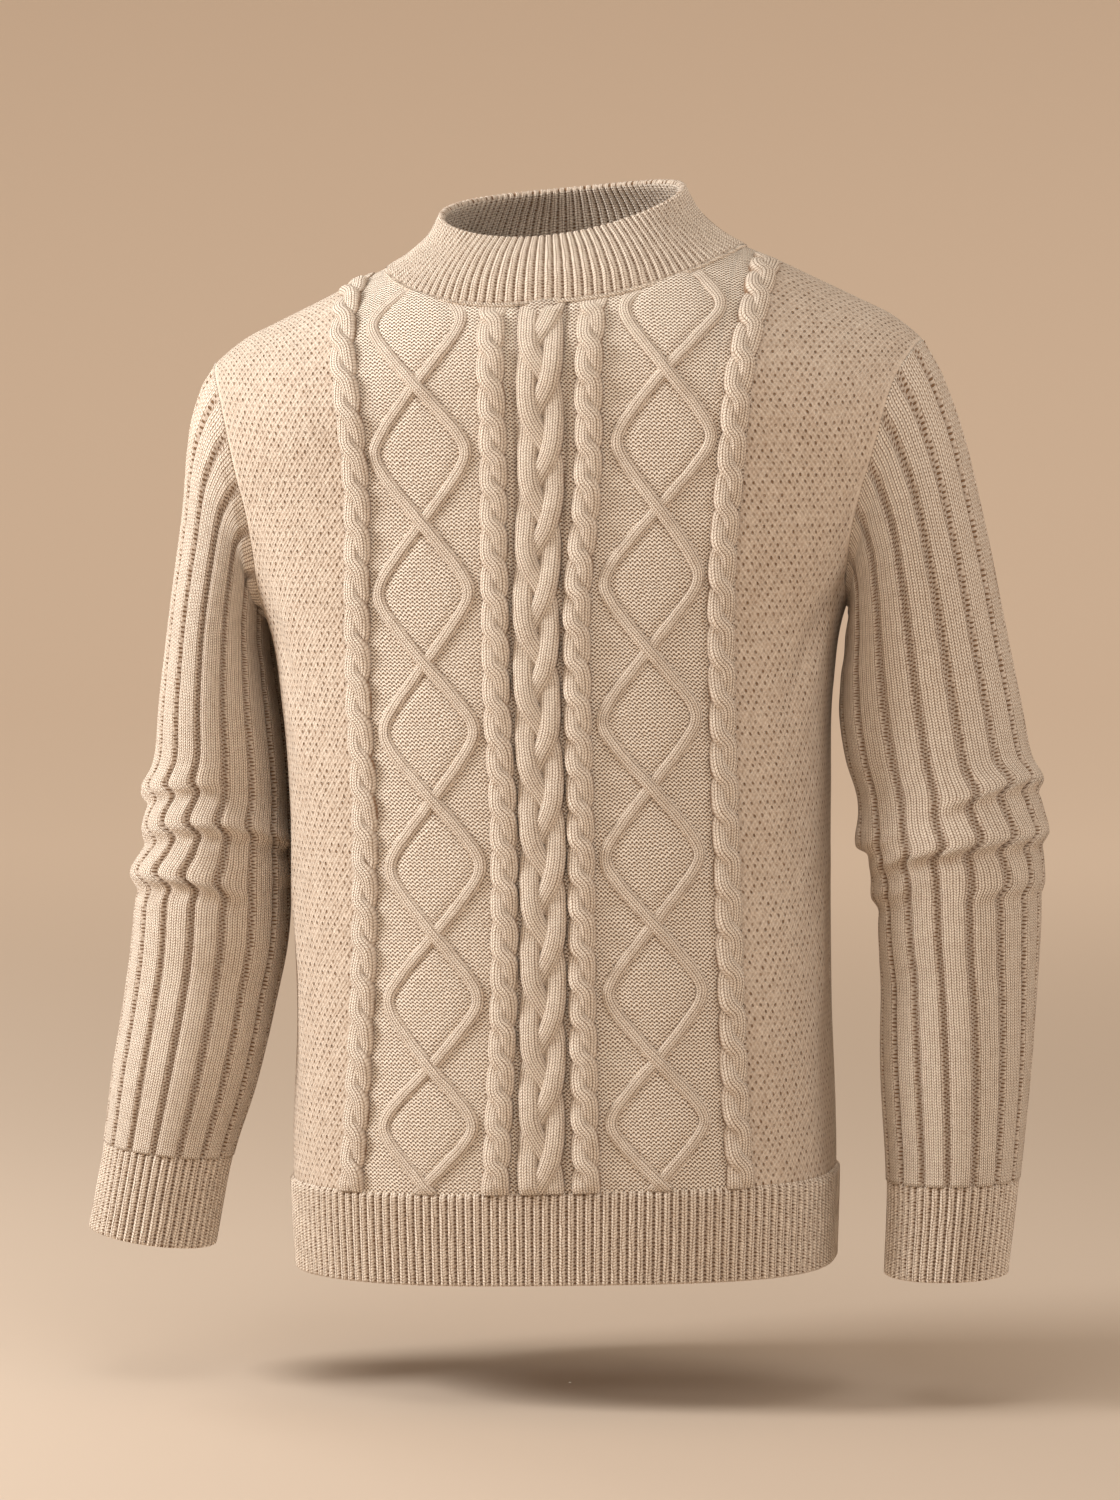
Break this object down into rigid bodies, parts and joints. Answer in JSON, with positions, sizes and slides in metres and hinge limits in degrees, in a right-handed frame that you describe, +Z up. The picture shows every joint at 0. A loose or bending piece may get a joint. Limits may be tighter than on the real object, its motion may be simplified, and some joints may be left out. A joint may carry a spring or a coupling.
{
  "type": "cable knit sweater",
  "caption": "Long-sleeved knitted sweater, filled out as if worn: ribbed funnel neck, front of ropes, lattice diamonds and a braid, wide-ribbed sleeves, ribbed hem and cuffs.",
  "frame": {"origin": "level with the shoulder line at the neck, in the middle of the neck opening, where the wearer's shoulders carry the sweater", "axes": "+Z up along the body, -Y out of the front, +X towards the wearer's left"},
  "size_m": [0.6418, 0.2498, 0.7222],
  "materials": {
    "wool": "matte undyed wool yarn in a cream to oatmeal shade, slightly fuzzy, with no dye change between the pieces"
  },
  "bodies": {
    "root": {"front": "wool", "back": "wool", "hem_band": "wool", "collar": "wool", "sleeve_left": "wool", "sleeve_right": "wool", "cuff_left": "wool", "cuff_right": "wool"}
  },
  "joints": []
}
